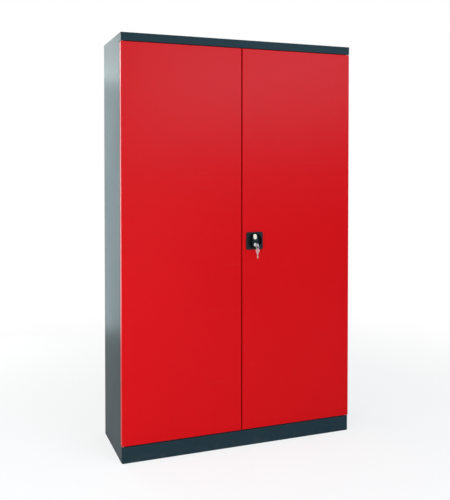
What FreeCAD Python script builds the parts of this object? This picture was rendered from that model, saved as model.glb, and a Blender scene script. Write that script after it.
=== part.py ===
"""A tall steel tool cabinet with two hinged doors, four shelves and a three-point turn-handle lock.

Millimetres. The origin is on the floor under the middle of the carcass, the doors face -Y, +Z is up.
"""

import FreeCAD
import Part
import math
import os

from FreeCAD import Vector

# Driving dimensions of the carcass
cabinet_width = 1200.0
cabinet_depth = 400.0
cabinet_height = 2000.0
body_sheet = 1.0
door_sheet = 1.0
shelf_sheet = 1.0
overrun = 5.0
seat_gap = 0.3
sheet_gap = 0.2

# The front: top band, plinth and two doors lie in one plane
band_height = 38.0
band_door_gap = 3.0
plinth_height = 76.0
plinth_door_gap = 4.0
door_depth = 30.0
door_back_gap = 4.0
door_seam = 5.5
door_edge_radius = 2.0
plinth_corner_radius = 10.0
hinge_flange = 20.0
closing_flange = 25.0
end_flange = 20.0

# Carcass folds
post_width = 25.0
post_return = 20.0
rear_flange = 20.0
foot_flange = 15.0
band_underside_depth = 55.0
band_riser = 15.0
rail_height = 37.0
floor_step = 20.0
floor_fold = 20.0
plinth_shelf_depth = 70.0
wall_hole_radius = 4.5
wall_hole_spacing = 800.0
wall_hole_drop = 90.0

# Floor bearer
bearer_width = 60.0
bearer_front_gap = 40.0

# Uprights, shelves and clips
upright_width = 30.0
upright_depth = 15.0
upright_front_setback = 44.0
upright_rear_setback = 34.0
slot_pitch = 25.0
slot_first = 30.0
slot_width = 3.2
slot_height = 12.0
shelf_slots = (13, 28, 42, 57)
shelf_end_gap = 1.5
shelf_front_gap = 3.0
shelf_rear_gap = 4.0
shelf_fold = 30.0
shelf_lip = 10.0
stiffener_width = 60.0
stiffener_foot = 15.0
shelf_stiffener_depth = 22.0
clip_reach = 12.0
clip_width = 18.0
clip_thickness = 1.8
clip_leg = 20.0
clip_tab_width = 2.4
clip_tab_height = 8.0
clip_tab_length = 5.0

# Hinges: pivot pins in the corners of the doors
pin_inset = 9.0
pin_radius = 4.0
pin_head_radius = 7.0
pin_head_thickness = 3.0
pin_reach = 16.0
running_gap = 0.05
bush_radius = 6.0
bush_length = 14.0
bush_flange_radius = 7.5
bush_flange_thickness = 1.5
washer_radius = 8.0
pivot_plate_width = 44.0
pivot_plate_thickness = 3.0
buffer_radius = 6.0
buffer_offset = 120.0
rivet_radius = 3.5
rivet_head = 1.2
rivet_rows = 7

# Lock on the right door
lock_from_seam = 66.0
lock_height = 1015.0
escutcheon_width = 88.0
escutcheon_height = 86.0
escutcheon_radius = 8.0
escutcheon_proud = 6.0
escutcheon_rim = 2.0
dish_radius = 37.0
dish_wall = 2.0
dish_depth = 20.0
cup_gap = 0.5
grip_width = 27.0
grip_length = 70.0
grip_proud = 14.0
grip_floor_gap = 0.8
grip_edge_radius = 2.0
grip_slope_start = 4.0
grip_slope_depth = 7.0
hub_radius = 11.0
insert_width = 18.0
insert_length = 27.0
insert_thickness = 2.2
insert_offset = 20.9
spindle_size = 8.0
spindle_thread_radius = 3.0
fit_gap = 0.1
cam_radius = 25.0
cam_thickness = 3.0
cam_pin_radius = 3.0
cam_pin_offset = 18.0
layer_gap = 0.5
cam_slot_gap = 0.7
rod_width = 18.0
rod_thickness = 3.0
rod_inner_gap = 0.4
rod_end_margin = 4.0
rod_nose = 4.0
rod_hole_gap = 1.5
guide_width = 34.0
guide_height = 14.0
guide_sheet = 1.5
guide_from_lock = 380.0
nut_across = 10.0
nut_thickness = 4.0
hook_length = 84.0
hook_width = 14.0
hook_thickness = 3.0
keeper_height = 70.0
keeper_width = 22.0
keeper_sheet = 1.5
keeper_throat = 9.0
case_sheet = 1.0
case_margin = 0.5
screw_inset = 7.0
screw_radius = 2.0
screw_head_radius = 3.6
screw_head_thickness = 2.4
screw_length = 5.0

# Cylinder, keys and ring
cylinder_radius = 8.5
cylinder_proud = 2.0
cylinder_length = 25.0
cylinder_offset = 19.0
key_thickness = 2.0
key_blade_height = 5.0
key_blade_length = 21.0
key_neck_length = 10.0
key_bow_radius = 11.0
key_hole_radius = 2.6
key_hole_offset = 4.6
key_gap = 0.15
ring_wire_radius = 0.9
ring_radius = 6.8
spare_twist = 30.0
spare_hole_radius = 3.6
spare_hole_offset = 7.5
spare_blade_length = 29.0
tooth_depth = 1.6
tooth_pitch = 4.2

# Derived planes and lines
half_width = cabinet_width / 2
front = -cabinet_depth / 2
rear = cabinet_depth / 2
door_back = front + door_depth
carcass_front = door_back + door_back_gap
inner_side = half_width - body_sheet
band_bottom = cabinet_height - band_height
door_top = band_bottom - band_door_gap
door_bottom = plinth_height + plinth_door_gap
floor_top = plinth_height + plinth_door_gap + floor_step
post_inner = half_width - post_width
post_back = carcass_front + post_return + body_sheet
rail_bottom = band_bottom - rail_height
pin_x = half_width - pin_inset
pin_y = front + door_depth / 2
door_free_edge = door_seam / 2
dish_floor = front - escutcheon_proud + dish_depth
cup_back = dish_floor + dish_wall
cam_front = cup_back + layer_gap
cam_back = cam_front + cam_thickness
rod_front = cam_back + layer_gap
rod_back = rod_front + rod_thickness
case_back = door_back - layer_gap - layer_gap
pin_swing = math.radians(45)
rod_centre = spindle_size / math.sqrt(2) + rod_inner_gap + rod_width / 2
cylinder_z = lock_height - cylinder_offset
cylinder_front = front - grip_proud - cylinder_proud
bow_y = cylinder_front - key_neck_length - key_bow_radius
hole_y = bow_y - key_hole_offset
parts = {}


def block(x0, x1, y0, y1, z0, z1):
    corner = Vector(min(x0, x1), min(y0, y1), min(z0, z1))
    return Part.makeBox(abs(x1 - x0), abs(y1 - y0), abs(z1 - z0), corner)


def rod_along_y(x, z, y0, y1, radius):
    return Part.makeCylinder(radius, y1 - y0, Vector(x, y0, z), Vector(0, 1, 0))


def rod_along_z(x, y, z0, z1, radius):
    return Part.makeCylinder(radius, z1 - z0, Vector(x, y, z0), Vector(0, 0, 1))


def rod_along_x(y, z, x0, x1, radius):
    return Part.makeCylinder(radius, x1 - x0, Vector(x0, y, z), Vector(1, 0, 0))


def joined(shapes):
    return shapes[0].multiFuse(shapes[1:]).removeSplitter()


def mirrored(shape):
    return shape.mirror(Vector(0, 0, 0), Vector(1, 0, 0))


def oblong(x, z, y0, y1, width, length):
    """An upright oblong with round ends, centred at x, z and running from y0 to y1."""
    radius = width / 2
    straight = length / 2 - radius
    middle = block(x - radius, x + radius, y0, y1, z - straight, z + straight)
    ends = [rod_along_y(x, z + side * straight, y0, y1, radius) for side in (-1, 1)]
    return joined([middle] + ends)


def edges_where(shape, test):
    return [edge for edge in shape.Edges if test(edge)]


def is_at_y(edge, y):
    box = edge.BoundBox
    return abs(box.YMin - y) < seat_gap and abs(box.YMax - y) < seat_gap


def keep(name, shape):
    parts[name] = shape


# Side panels: full height, with a folded front post, a rear flange and a nose that closes the band's end
def side_panel():
    skin = block(inner_side, half_width, carcass_front, rear, 0, cabinet_height)
    nose = block(inner_side, half_width, front, carcass_front, band_bottom, cabinet_height)
    post_top = band_bottom - sheet_gap
    post_low = plinth_height + sheet_gap
    post = block(post_inner, inner_side, carcass_front, carcass_front + body_sheet, post_low, post_top)
    inward = block(post_inner, post_inner + body_sheet, carcass_front, post_back, post_low, post_top)
    back_top = cabinet_height - body_sheet - sheet_gap
    back = block(half_width - rear_flange, inner_side, rear - body_sheet, rear, 0, back_top)
    foot_back = rear - 2 * body_sheet - sheet_gap
    foot = block(half_width - foot_flange, inner_side, carcass_front, foot_back, 0, body_sheet)
    return joined([skin, nose, post, inward, back, foot])


def make_sides():
    keep("side_panel_right", side_panel())
    keep("side_panel_left", mirrored(side_panel()))


# Back panel: one sheet inside the rear flanges, with two holes for wall anchors
def make_back():
    wide = inner_side - sheet_gap
    top = cabinet_height - body_sheet - sheet_gap
    panel = block(-wide, wide, rear - 2 * body_sheet, rear - body_sheet, 0, top)
    hole_z = cabinet_height - wall_hole_drop
    for side in (-1, 1):
        x = side * wall_hole_spacing / 2
        hole = rod_along_y(x, hole_z, rear - 2 * body_sheet - overrun, rear + overrun, wall_hole_radius)
        panel = panel.cut(hole)
    keep("back_panel", panel)
    rivets = []
    step = (top - 2 * rear_flange) / (rivet_rows - 1)
    for side in (-1, 1):
        x = side * (half_width - rear_flange / 2)
        for row in range(rivet_rows):
            z = rear_flange + row * step
            rivets.append(rod_along_y(x, z, rear, rear + rivet_head, rivet_radius))
    keep("back_rivets", Part.makeCompound(rivets))


# Top panel: roof sheet, front band, its underside and riser, and a short rear fold
def rod_slot(side, z0, z1, gap):
    """The slot that the upper or lower rod passes through, side 1 for the upper rod."""
    x = lock_from_seam + side * rod_centre
    half = rod_width / 2 + gap
    return block(x - half, x + half, rod_front - gap, rod_back + gap, z0, z1)


def make_top():
    wide = inner_side - sheet_gap
    roof = block(-wide, wide, front, rear, cabinet_height - body_sheet, cabinet_height)
    band = block(-wide, wide, front, front + body_sheet, band_bottom, cabinet_height)
    under_back = front + band_underside_depth
    under = block(-wide, wide, front, under_back, band_bottom, band_bottom + body_sheet)
    riser = block(-wide, wide, under_back - body_sheet, under_back, band_bottom, band_bottom + band_riser)
    fold_wide = half_width - rear_flange - sheet_gap
    fold_low = cabinet_height - rear_flange
    fold = block(-fold_wide, fold_wide, rear - body_sheet, rear, fold_low, cabinet_height)
    top = joined([roof, band, under, riser, fold])
    for side in (-1, 1):
        hole_top = band_bottom + body_sheet + overrun
        hole = rod_along_z(side * pin_x, pin_y, band_bottom - overrun, hole_top, pin_radius + fit_gap)
        top = top.cut(hole)
    slot = rod_slot(1, band_bottom - overrun, band_bottom + body_sheet + overrun, rod_hole_gap)
    keep("top_panel", top.cut(slot))


# Top rail: a channel between the posts, behind the doors' top edge
def make_rail():
    y0 = carcass_front
    z1 = band_bottom
    web = block(-post_inner, post_inner, y0, y0 + body_sheet, rail_bottom, z1)
    lower = block(-post_inner, post_inner, y0, post_back, rail_bottom, rail_bottom + body_sheet)
    upper = block(-post_inner, post_inner, y0, post_back, z1 - body_sheet, z1)
    keep("top_rail", joined([web, lower, upper]))


# Floor panel: a tray that stands on the plinth with its front fold
def make_floor():
    wide = inner_side - sheet_gap
    back = rear - 2 * body_sheet - sheet_gap
    sheet = block(-wide, wide, carcass_front, back, floor_top - body_sheet, floor_top)
    for side in (-1, 1):
        corner_x = side * (post_inner - sheet_gap)
        outside = side * (half_width + overrun)
        corner_back = post_back + sheet_gap
        notch = block(corner_x, outside, front, corner_back, 0, floor_top + overrun)
        sheet = sheet.cut(notch)
    fold_x = post_inner - sheet_gap
    lip = block(-fold_x, fold_x, carcass_front, carcass_front + body_sheet, plinth_height, floor_top)
    fold_low = floor_top - floor_fold
    sides = []
    for side in (-1, 1):
        y0 = post_back + sheet_gap
        sides.append(block(side * (wide - body_sheet), side * wide, y0, back, fold_low, floor_top))
    rear_fold = block(-wide, wide, back - body_sheet, back, fold_low, floor_top)
    keep("floor_panel", joined([sheet, lip, rear_fold] + sides))


# Plinth: a bent strip with round corners, closed by a shelf that carries the lower pins
def rounded_front(x, y1, z0, z1, inset):
    """A block from the front plane back to y1 whose two front corners are round."""
    body = block(-x + inset, x - inset, front + inset, y1, z0, z1)
    corners = edges_where(body, lambda e: is_at_y(e, front + inset) and e.BoundBox.ZLength > (z1 - z0) / 2)
    return body.makeFillet(plinth_corner_radius - inset, corners)


def make_plinth():
    y1 = carcass_front - sheet_gap
    outer = rounded_front(half_width, y1, 0, plinth_height, 0)
    inner = rounded_front(half_width, y1 + overrun, body_sheet, plinth_height - body_sheet, body_sheet)
    shell = outer.cut(inner)
    hollow_x = half_width - foot_flange
    hollow = block(-hollow_x, hollow_x, front + foot_flange, y1 + overrun, -overrun, body_sheet + overrun)
    shell = shell.cut(hollow)
    shelf_x = inner_side - sheet_gap
    shelf_y = front + plinth_shelf_depth
    z0 = plinth_height - body_sheet
    shelf = block(-shelf_x, shelf_x, y1 - body_sheet, shelf_y, z0, plinth_height)
    fold = block(-shelf_x, shelf_x, shelf_y - body_sheet, shelf_y, z0 - floor_fold, plinth_height)
    plinth = joined([shell, shelf, fold])
    for side in (-1, 1):
        hole = rod_along_z(side * pin_x, pin_y, z0 - overrun, plinth_height + overrun, pin_radius + fit_gap)
        plinth = plinth.cut(hole)
    plinth = plinth.cut(rod_slot(-1, z0 - overrun, plinth_height + overrun, rod_hole_gap))
    keep("plinth", plinth)


# Floor bearer: a channel under the middle of the floor, standing on the ground
def make_bearer():
    x = bearer_width / 2
    y0 = front + plinth_shelf_depth + bearer_front_gap
    y1 = rear - 2 * body_sheet
    top = floor_top - body_sheet
    web = block(-x, x, y0, y1, 0, body_sheet)
    walls = []
    for side in (-1, 1):
        walls.append(block(side * (x - body_sheet), side * x, y0, y1 - floor_fold, 0, top))
    keep("floor_bearer", joined([web] + walls))


# Uprights: slotted channels against the side panels, standing on the floor panel
def upright_at(y):
    x0 = inner_side - upright_depth
    y0 = y - upright_width / 2
    y1 = y + upright_width / 2
    z1 = rail_bottom
    face = block(x0, x0 + body_sheet, y0, y1, floor_top, z1)
    walls = []
    for edge in (y0, y1 - body_sheet):
        walls.append(block(x0, inner_side, edge, edge + body_sheet, floor_top, z1))
    upright = joined([face] + walls)
    slots = []
    z = floor_top + slot_first
    while z < z1 - slot_first:
        y_low = y - slot_width / 2
        y_high = y + slot_width / 2
        x_low = x0 - overrun
        x_high = x0 + body_sheet + overrun
        slots.append(block(x_low, x_high, y_low, y_high, z - slot_height / 2, z + slot_height / 2))
        z = z + slot_pitch
    return upright.cut(Part.makeCompound(slots))


upright_front_y = carcass_front + upright_front_setback
upright_rear_y = rear - upright_rear_setback


def make_uprights():
    for name, y in (("front", upright_front_y), ("rear", upright_rear_y)):
        keep("upright_" + name + "_right", upright_at(y))
        keep("upright_" + name + "_left", mirrored(upright_at(y)))


# Shelves: trays on four clips each, with a hat-shaped stiffener underneath
def seat_height(slot):
    """Height of the clips' top face in the slot with this number."""
    return floor_top + slot_first + slot * slot_pitch + slot_height / 2 + clip_thickness


def shelf_top(slot):
    return seat_height(slot) + shelf_fold


shelf_half = inner_side - upright_depth - shelf_end_gap
shelf_front = post_back + shelf_front_gap
shelf_rear = rear - 2 * body_sheet - shelf_rear_gap


def shelf(slot):
    z1 = shelf_top(slot)
    z0 = seat_height(slot)
    outer = block(-shelf_half, shelf_half, shelf_front, shelf_rear, z0, z1)
    inner_x = shelf_half - shelf_sheet
    inner_y0 = shelf_front + shelf_sheet
    inner_y1 = shelf_rear - shelf_sheet
    inside = block(-inner_x, inner_x, inner_y0, inner_y1, z0 + shelf_sheet, z1 - shelf_sheet)
    mouth_y0 = shelf_front + shelf_lip
    mouth_y1 = shelf_rear - shelf_lip
    mouth = block(-inner_x, inner_x, mouth_y0, mouth_y1, z0 - overrun, z1 - shelf_sheet)
    return outer.cut(inside).cut(mouth)


def hat_along_x(x, y, z_top, depth):
    """A hat channel under a sheet: two feet against the sheet and a box between them."""
    half = stiffener_width / 2
    web_half = half - stiffener_foot
    sheet = shelf_sheet
    pieces = [block(-x, x, y - web_half, y + web_half, z_top - depth, z_top - depth + sheet)]
    for side in (-1, 1):
        pieces.append(block(-x, x, y + side * web_half, y + side * half, z_top - sheet, z_top))
        inner = y + side * (web_half - sheet)
        pieces.append(block(-x, x, inner, y + side * web_half, z_top - depth, z_top))
    return joined(pieces)


def make_shelves():
    middle = (shelf_front + shelf_rear) / 2
    for number, slot in enumerate(shelf_slots, start=1):
        keep("shelf_" + str(number), shelf(slot))
        inside = shelf_half - shelf_sheet - seat_gap
        under = shelf_top(slot) - shelf_sheet
        keep("shelf_stiffener_" + str(number), hat_along_x(inside, middle, under, shelf_stiffener_depth))


# Shelf clips: a seat, a leg on the upright's face and a tab through one slot
def clip_at(y, slot):
    face = inner_side - upright_depth
    z = seat_height(slot)
    leg_low = z - clip_leg
    x1 = face
    half = clip_width / 2
    seat = block(x1 - clip_reach, x1, y - half, y + half, z - clip_thickness, z)
    leg = block(x1 - clip_thickness, x1, y - half, y + half, leg_low, z)
    slot_z = floor_top + slot_first + slot * slot_pitch
    tab_half = clip_tab_width / 2
    tab_low = slot_z - clip_tab_height / 2
    tab = block(x1, x1 + clip_tab_length, y - tab_half, y + tab_half, tab_low, tab_low + clip_tab_height)
    return joined([seat, leg, tab])


def make_clips():
    clips = []
    for slot in shelf_slots:
        for y in (upright_front_y, upright_rear_y):
            clips.append(clip_at(y, slot))
            clips.append(mirrored(clip_at(y, slot)))
    keep("shelf_clips", Part.makeCompound(clips))


# Hinge pins, thrust washers and buffers belong to the carcass
def make_hinge_hardware():
    pins = []
    washers = []
    washer_top = door_bottom - bush_flange_thickness - seat_gap
    for side in (-1, 1):
        x = side * pin_x
        head_top = plinth_height - body_sheet
        low_head = rod_along_z(x, pin_y, head_top - pin_head_thickness, head_top, pin_head_radius)
        low = rod_along_z(x, pin_y, head_top - pin_head_thickness, door_bottom + pin_reach, pin_radius)
        pins.append(joined([low, low_head]))
        head_low = band_bottom + body_sheet
        high_head = rod_along_z(x, pin_y, head_low, head_low + pin_head_thickness, pin_head_radius)
        high = rod_along_z(x, pin_y, door_top - pin_reach, head_low + pin_head_thickness, pin_radius)
        pins.append(joined([high, high_head]))
        ring = rod_along_z(x, pin_y, plinth_height, washer_top, washer_radius)
        washers.append(ring.cut(rod_along_z(x, pin_y, 0, cabinet_height, pin_radius + fit_gap)))
    keep("hinge_pins", Part.makeCompound(pins))
    keep("hinge_washers", Part.makeCompound(washers))


def make_buffers():
    buffers = []
    for side in (-1, 1):
        low_z = (door_bottom + floor_top) / 2
        high_z = door_top - end_flange / 2
        for z in (low_z, high_z):
            x = side * buffer_offset
            buffers.append(rod_along_y(x, z, door_back + seat_gap, carcass_front, buffer_radius))
    keep("door_buffers", Part.makeCompound(buffers))


# Doors: folded pans with an inward flange all round the back
def door_pan():
    x0 = door_free_edge
    x1 = half_width
    solid = block(x0, x1, front, door_back, door_bottom, door_top)
    solid = solid.makeFillet(door_edge_radius, edges_where(solid, lambda e: is_at_y(e, front)))
    sheet = door_sheet
    inside = block(x0 + sheet, x1 - sheet, front + sheet, door_back - sheet,
                   door_bottom + sheet, door_top - sheet)
    fold = edges_where(inside, lambda e: is_at_y(e, front + sheet))
    inside = inside.makeFillet(door_edge_radius - sheet, fold)
    mouth_x0 = x0 + closing_flange
    mouth_x1 = x1 - hinge_flange
    mouth_z0 = door_bottom + end_flange
    mouth_z1 = door_top - end_flange
    mouth = block(mouth_x0, mouth_x1, front + sheet + overrun, door_back + overrun, mouth_z0, mouth_z1)
    pan = solid.cut(inside).cut(mouth)
    for z in (door_bottom, door_top - sheet):
        hole = rod_along_z(pin_x, pin_y, z - overrun, z + sheet + overrun, bush_radius + fit_gap)
        pan = pan.cut(hole)
    return pan


def door_stiffener():
    x = (door_free_edge + half_width) / 2
    z0 = door_bottom + door_edge_radius + seat_gap
    z1 = door_top - door_edge_radius - seat_gap
    y0 = front + door_sheet
    y1 = door_back - door_sheet - layer_gap
    half = stiffener_width / 2
    web_half = half - stiffener_foot
    pieces = [block(x - web_half, x + web_half, y1 - door_sheet, y1, z0, z1)]
    for side in (-1, 1):
        pieces.append(block(x + side * web_half, x + side * half, y0, y0 + door_sheet, z0, z1))
        pieces.append(block(x + side * (web_half - door_sheet), x + side * web_half, y0, y1, z0, z1))
    return joined(pieces)


def pivot_plates():
    """Thick plates in the two hinge-side corners, each with the bush's hole."""
    plates = []
    x1 = half_width - door_sheet
    y0 = front + door_sheet + door_edge_radius
    y1 = door_back - door_sheet
    for z0 in (door_bottom + door_sheet, door_top - door_sheet - pivot_plate_thickness):
        plate = block(x1 - pivot_plate_width, x1, y0, y1, z0, z0 + pivot_plate_thickness)
        hole = rod_along_z(pin_x, pin_y, door_bottom, door_top, bush_radius + fit_gap)
        plates.append(plate.cut(hole))
    return Part.makeCompound(plates)


def door_bushes():
    bushes = []
    bore = rod_along_z(pin_x, pin_y, 0, cabinet_height, pin_radius + running_gap)
    flange_low = door_bottom - bush_flange_thickness
    low_flange = rod_along_z(pin_x, pin_y, flange_low, door_bottom, bush_flange_radius)
    low = rod_along_z(pin_x, pin_y, flange_low, door_bottom + bush_length, bush_radius)
    bushes.append(joined([low, low_flange]).cut(bore))
    flange_high = door_top + bush_flange_thickness
    high_flange = rod_along_z(pin_x, pin_y, door_top, flange_high, bush_flange_radius)
    high = rod_along_z(pin_x, pin_y, door_top - bush_length, flange_high, bush_radius)
    bushes.append(joined([high, high_flange]).cut(bore))
    return Part.makeCompound(bushes)


def make_left_door():
    keep("left_door_panel", mirrored(door_pan()))
    keep("left_door_stiffener", mirrored(door_stiffener()))
    keep("left_door_pivot_plates", mirrored(pivot_plates()))
    keep("left_door_bushes", mirrored(door_bushes()))


def screw_places():
    places = []
    for side in (-1, 1):
        for end in (-1, 1):
            x = lock_from_seam + side * (escutcheon_width / 2 - screw_inset)
            z = lock_height + end * (escutcheon_height / 2 - screw_inset)
            places.append((x, z))
    return places


def make_right_door():
    pan = door_pan()
    hole_radius = dish_radius + dish_wall + cup_gap
    skin_back = front + door_sheet + overrun
    pan = pan.cut(rod_along_y(lock_from_seam, lock_height, front - overrun, skin_back, hole_radius))
    for x, z in screw_places():
        pan = pan.cut(rod_along_y(x, z, front - overrun, skin_back, screw_radius + seat_gap))
    pan = pan.cut(rod_slot(1, door_top - door_sheet - overrun, door_top + overrun, layer_gap))
    pan = pan.cut(rod_slot(-1, door_bottom - overrun, door_bottom + door_sheet + overrun, layer_gap))
    keep("right_door_panel", pan)
    keep("right_door_stiffener", door_stiffener())
    keep("right_door_pivot_plates", pivot_plates())
    keep("right_door_bushes", door_bushes())


# Escutcheon: a square plate with round corners and a deep round dish for the fingers
def make_escutcheon():
    x0 = lock_from_seam - escutcheon_width / 2
    x1 = lock_from_seam + escutcheon_width / 2
    z0 = lock_height - escutcheon_height / 2
    z1 = lock_height + escutcheon_height / 2
    face = front - escutcheon_proud
    plate = block(x0, x1, face, front, z0, z1)
    corners = edges_where(plate, lambda e: e.BoundBox.YLength > escutcheon_proud / 2)
    plate = plate.makeFillet(escutcheon_radius, corners)
    rim = edges_where(plate, lambda e: is_at_y(e, face))
    plate = plate.makeFillet(escutcheon_rim, rim)
    cup = rod_along_y(lock_from_seam, lock_height, front, cup_back, dish_radius + dish_wall)
    dish = rod_along_y(lock_from_seam, lock_height, face - overrun, dish_floor, dish_radius)
    shell = joined([plate, cup]).cut(dish)
    widest = 2 * dish_radius + seat_gap
    lip = edges_where(shell, lambda e: is_at_y(e, face) and dish_radius < e.BoundBox.XLength < widest)
    lip = [edge for edge in lip if edge.Curve.TypeId == "Part::GeomCircle"]
    shell = shell.makeFillet(escutcheon_rim / 2, lip)
    hub_hole = rod_along_y(lock_from_seam, lock_height, dish_floor - overrun, cup_back + overrun,
                           hub_radius + running_gap)
    shell = shell.cut(hub_hole)
    for x, z in screw_places():
        hole = rod_along_y(x, z, front - screw_length, front + overrun, screw_radius + running_gap)
        shell = shell.cut(hole)
    keep("lock_escutcheon", shell)


# Lock case: a folded cover behind the cam, held by four screws in the corners
def make_lock_case():
    half_x = escutcheon_width / 2 - case_margin
    half_z = escutcheon_height / 2 - case_margin
    skin = front + door_sheet
    x0 = lock_from_seam - half_x
    x1 = lock_from_seam + half_x
    back = block(x0, x1, case_back - case_sheet, case_back, lock_height - half_z, lock_height + half_z)
    pieces = [back]
    for x in (x0, x1 - case_sheet):
        pieces.append(block(x, x + case_sheet, skin, case_back, lock_height - half_z, lock_height + half_z))
    tab = 2 * screw_inset - case_margin
    for side in (-1, 1):
        for end in (-1, 1):
            x_out = lock_from_seam + side * half_x
            z_out = lock_height + end * half_z
            x_in = x_out - side * tab
            pieces.append(block(x_out, x_in, skin, skin + case_sheet, z_out, z_out - end * tab))
    case = joined(pieces)
    bore = rod_along_y(lock_from_seam, lock_height, case_back - case_sheet - overrun, case_back + overrun,
                       spindle_thread_radius + seat_gap)
    case = case.cut(bore)
    screws = []
    for x, z in screw_places():
        hole = rod_along_y(x, z, skin - overrun, skin + case_sheet + overrun, screw_radius + seat_gap)
        case = case.cut(hole)
        case = case.cut(rod_along_y(x, z, case_back - case_sheet - overrun, case_back + overrun,
                                    screw_head_radius + seat_gap))
        head_front = skin + case_sheet
        head = rod_along_y(x, z, head_front, head_front + screw_head_thickness, screw_head_radius)
        shank = rod_along_y(x, z, front - screw_length + seat_gap, head_front, screw_radius)
        screws.append(joined([head, shank]))
    keep("lock_case", case)
    keep("lock_screws", Part.makeCompound(screws))


# Rod guides: hat-shaped straps welded to the door's skin, one round each rod
def make_guides():
    guides = []
    skin = front + door_sheet
    for side in (-1, 1):
        x = lock_from_seam + side * rod_centre
        z = lock_height + side * guide_from_lock
        y1 = rod_back + seat_gap + guide_sheet
        outer_half = rod_width / 2 + seat_gap + guide_sheet
        z0 = z - guide_height / 2
        z1 = z + guide_height / 2
        body = block(x - outer_half, x + outer_half, rod_front - seat_gap - guide_sheet, y1, z0, z1)
        hole_half = outer_half - guide_sheet
        hole = block(x - hole_half, x + hole_half, rod_front - seat_gap, y1 - guide_sheet,
                     z0 - overrun, z1 + overrun)
        legs = []
        for leg in (-1, 1):
            outer = x + leg * outer_half
            legs.append(block(outer - leg * guide_sheet, outer, skin, y1, z0, z1))
            foot_end = x + leg * guide_width / 2
            legs.append(block(outer - leg * guide_sheet, foot_end, skin, skin + guide_sheet, z0, z1))
        guides.append(joined([body.cut(hole)] + legs))
    keep("rod_guides", Part.makeCompound(guides))


# Keeper: a Z-shaped bracket behind the left door's closing flange
def make_keeper():
    x1 = -door_free_edge - seat_gap
    x0 = x1 - keeper_width
    z1 = lock_height + hook_width / 2 + seat_gap + keeper_sheet
    z0 = z1 - keeper_height
    foot = block(x0, x1, door_back, door_back + keeper_sheet, z0, lock_height - hook_width / 2 - seat_gap)
    floor_z = lock_height - hook_width / 2 - seat_gap
    back_y = door_back + keeper_sheet + keeper_throat
    shelf_plate = block(x0, x1, door_back, back_y, floor_z - keeper_sheet, floor_z)
    rear_lip = block(x0, x1, back_y - keeper_sheet, back_y, floor_z - keeper_sheet, z1)
    keep("left_door_keeper", joined([foot, shelf_plate, rear_lip]))


# Turn handle: an oblong grip in the dish, whose upper half slopes back and carries the bright insert
def sloped_back(shape):
    """Turns a shape drawn on the grip's upright front onto the slope of its upper half."""
    angle = math.degrees(math.atan(grip_slope_depth / (grip_length / 2 - grip_slope_start)))
    start = Vector(lock_from_seam, front - grip_proud, lock_height + grip_slope_start)
    shape.rotate(start, Vector(1, 0, 0), -angle)
    return shape


def make_handle():
    x = lock_from_seam
    z = lock_height
    grip_front = front - grip_proud
    grip_back = dish_floor - grip_floor_gap
    grip = oblong(x, z, grip_front, grip_back, grip_width, grip_length)
    slope_low = z + grip_slope_start
    above = block(x - grip_width, x + grip_width, grip_front - grip_length, grip_front,
                  slope_low, z + grip_length)
    grip = grip.cut(sloped_back(above))
    rim_back = grip_front + grip_slope_depth + seat_gap
    rim = edges_where(grip, lambda e: e.BoundBox.YMax < rim_back and e.BoundBox.ZLength > seat_gap)
    grip = grip.makeFillet(grip_edge_radius, rim)
    hub = rod_along_y(x, z, grip_back - overrun, cup_back, hub_radius)
    handle = joined([grip, hub])
    socket_half = spindle_size / 2 + running_gap
    socket_front = grip_front + grip_proud
    handle = handle.cut(block(x - socket_half, x + socket_half, socket_front, cup_back + overrun,
                              z - socket_half, z + socket_half))
    bore_back = cylinder_front + cylinder_length + seat_gap
    bore = rod_along_y(x, cylinder_z, grip_front - overrun, bore_back, cylinder_radius + running_gap)
    handle = handle.cut(bore)
    pocket = oblong(x, z + insert_offset, grip_front - overrun, grip_front + insert_thickness / 2,
                    insert_width + 2 * fit_gap, insert_length + 2 * fit_gap)
    keep("turn_handle", handle.cut(sloped_back(pocket)))
    insert = oblong(x, z + insert_offset, grip_front - insert_thickness, grip_front + insert_thickness / 2,
                    insert_width, insert_length)
    top = edges_where(insert, lambda e: is_at_y(e, grip_front - insert_thickness))
    keep("handle_insert", sloped_back(insert.makeFillet(insert_thickness / 2, top)))
    half = spindle_size / 2
    square = block(x - half, x + half, socket_front + seat_gap, cam_back, z - half, z + half)
    hook_back = door_back + layer_gap + hook_thickness
    thread = rod_along_y(x, z, cam_back, hook_back + nut_thickness, spindle_thread_radius)
    keep("lock_spindle", joined([square, thread]))


# Cam disc with two driving pins, the hook behind the case, and the nuts that hold both
def hexagon(x, z, y0, y1, across):
    radius = across / math.sqrt(3)
    points = []
    for corner in range(7):
        angle = math.radians(60 * corner)
        points.append(Vector(x + radius * math.cos(angle), y0, z + radius * math.sin(angle)))
    face = Part.Face(Part.makePolygon(points))
    return face.extrude(Vector(0, y1 - y0, 0))


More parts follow.
